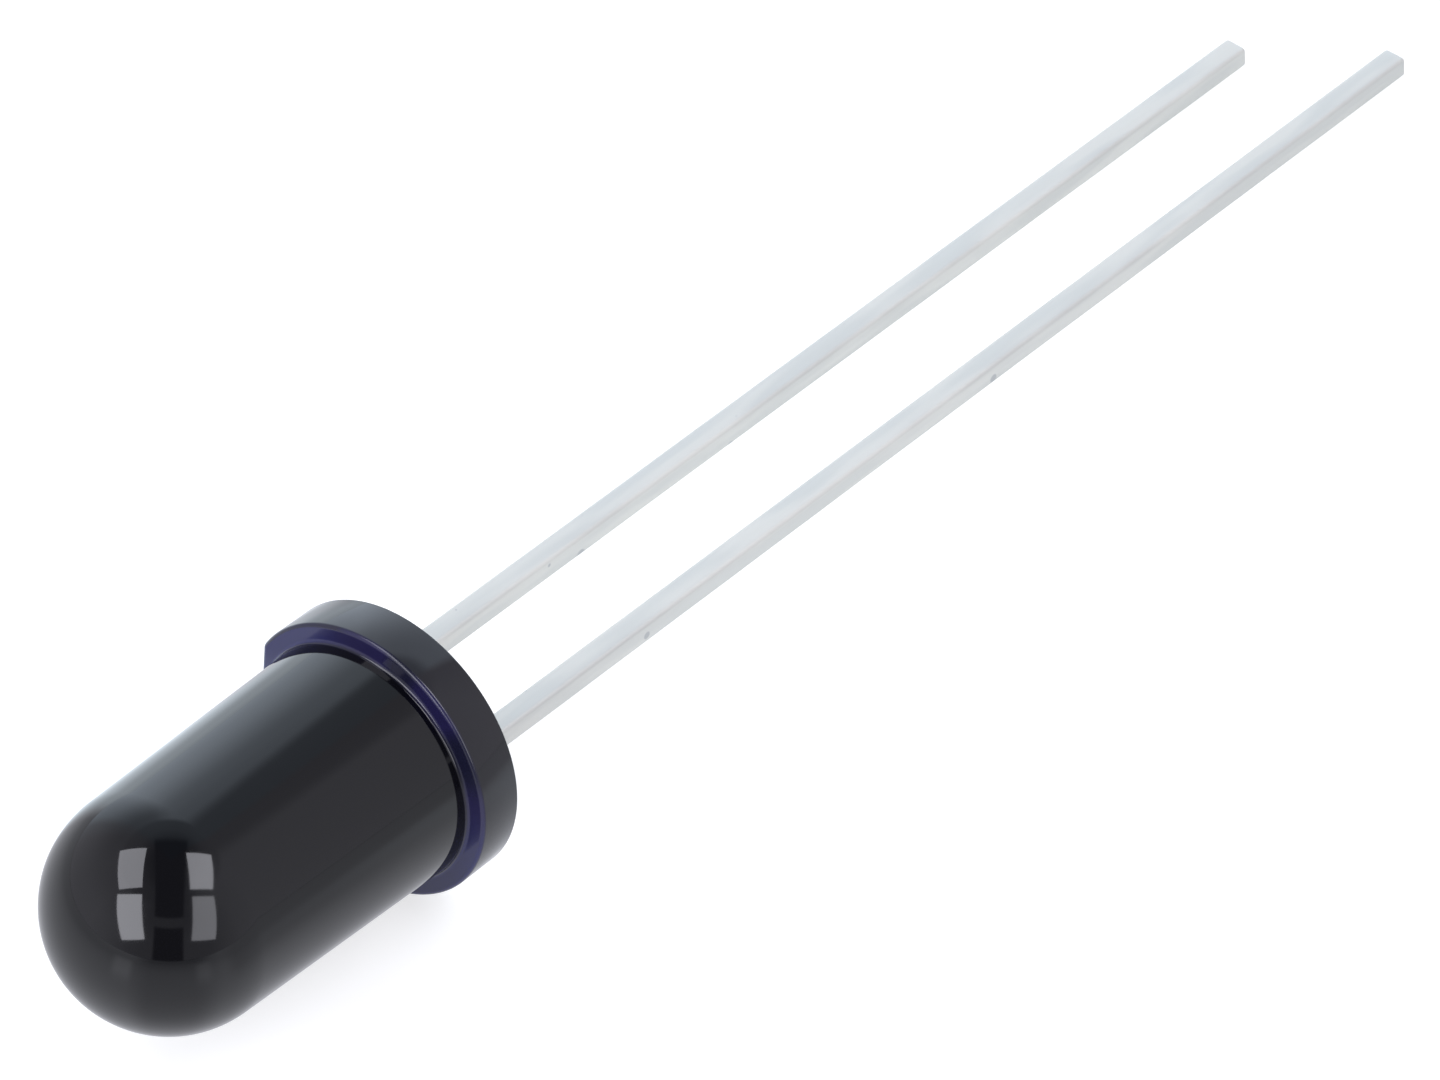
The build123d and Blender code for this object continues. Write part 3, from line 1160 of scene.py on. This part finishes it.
    @staticmethod
    def _ramp(sheet: NodeSheet, share: Socket, stops: list[Span]) -> Socket:
        """Turn a share into a value by stops, each with its place and value, all from 0 to 1."""
        curve = sheet.add("ValToRGB", {"Fac": share})
        elements = curve.color_ramp.elements
        while len(elements) < len(stops):
            elements.new(0.5)
        for element, (place_on_ramp, value) in zip(elements, sorted(stops), strict=True):
            element.position = place_on_ramp
            element.color = (value, value, value, 1.0)
        return curve.outputs["Color"]


@dataclass
class Studio:
    """Floor, lamps, surroundings and camera. The panels' numbers are in SoftPanel's order."""

    lamps: tuple[SoftPanel, ...] = (
        SoftPanel("left_low", 0.8, 28.6, 120.2, 7.3, 9.9, 0.703, 0.400, 4.6),
        SoftPanel("left_high", -43.6, 56.2, -105.1, 4.1, -10.7, 0.400, 0.617, 3.7),
        SoftPanel("right_low", 79.4, 32.3, -21.6, 8.0, -12.6, 0.383, 0.679, 2.45),
        SoftPanel("right_high", 118.0, 62.9, 114.6, 2.3, 17.4, 0.389, 0.563, 4.0),
    )
    floor_half: float = 600.0
    floor_cells: int = 8
    lamp_distance: float = 350.0
    lamp_target: Triple = (6.5, 0.0, 0.6)
    camera_place: Triple = (107.507, 86.371, 155.068)
    view_azimuth: float = -143.566
    view_elevation: float = -47.2315
    view_roll: float = 4.970
    lens: float = 277.392
    sensor_width: float = 36.0
    clip_metres: Span = (0.01, 10.0)

    def build(self) -> None:
        """Set the whole stage."""
        self._floor()
        for lamp in self.lamps:
            lamp.build(Vector(self.lamp_target) * MM, self.lamp_distance * MM)
        Surroundings().build()
        self._camera()
        bpy.context.scene.view_settings.view_transform = "Standard"

    def _floor(self) -> None:
        """Lay a white floor under the part, which keeps its shadow."""
        drawing = Drawing()
        cells, half = self.floor_cells, self.floor_half * MM
        bmesh.ops.create_grid(drawing.mesh, x_segments=cells, y_segments=cells, size=half)
        bmesh.ops.translate(drawing.mesh, verts=drawing.mesh.verts, vec=(0.0, 0.0, CAD_BOX[0][2]))
        floor = drawing.finished("floor")
        floor.data.materials.append(FloorPaint().material())

    def _camera(self) -> None:
        """Place the camera and make it the scene's."""
        forward = direction(self.view_azimuth, self.view_elevation)
        side = forward.cross(Vector((0.0, 0.0, 1.0))).normalized()
        right = Matrix.Rotation(-math.radians(self.view_roll), 3, forward) @ side
        data = bpy.data.cameras.new("studio_camera")
        data.lens = self.lens
        data.sensor_width = self.sensor_width
        data.clip_start, data.clip_end = self.clip_metres
        turned = Matrix((right, right.cross(forward), -forward)).transposed().to_4x4()
        stand = Matrix.Translation(Vector(self.camera_place) * MM)
        bpy.context.scene.camera = place("studio_camera", data, stand @ turned)


def main() -> None:
    """Build and dress every piece, and set the stage."""
    logging.basicConfig(level=logging.INFO, format="%(name)s: %(message)s")
    effects = SharedEffects()
    resin = DyedResin().material(effects)
    tin = TinPlate().material(effects)
    cathode = StampedLead(Polarity.CATHODE, length=27.5)
    anode = StampedLead(Polarity.ANODE, length=29.5)
    for part, finish in ((ResinBody(), resin), (cathode, tin), (anode, tin)):
        piece = part.build()
        piece.data.materials.append(finish)
        LOG.info("%s: %d vertices", piece.name, len(piece.data.vertices))

    inner = {
        "die_adhesive": SilverAdhesive(),
        "photodiode_chip": SiliconChip(),
        "bond_wire": GoldWire(),
    }
    for node, finish in inner.items():
        held = frame["nodes"][node]
        held.data.materials.clear()
        held.data.materials.append(finish.material(effects))
        LOG.info("%s keeps its CAD shape, finished as %s", node, finish.label)

    Studio().build()


if __name__ == "__main__":
    main()
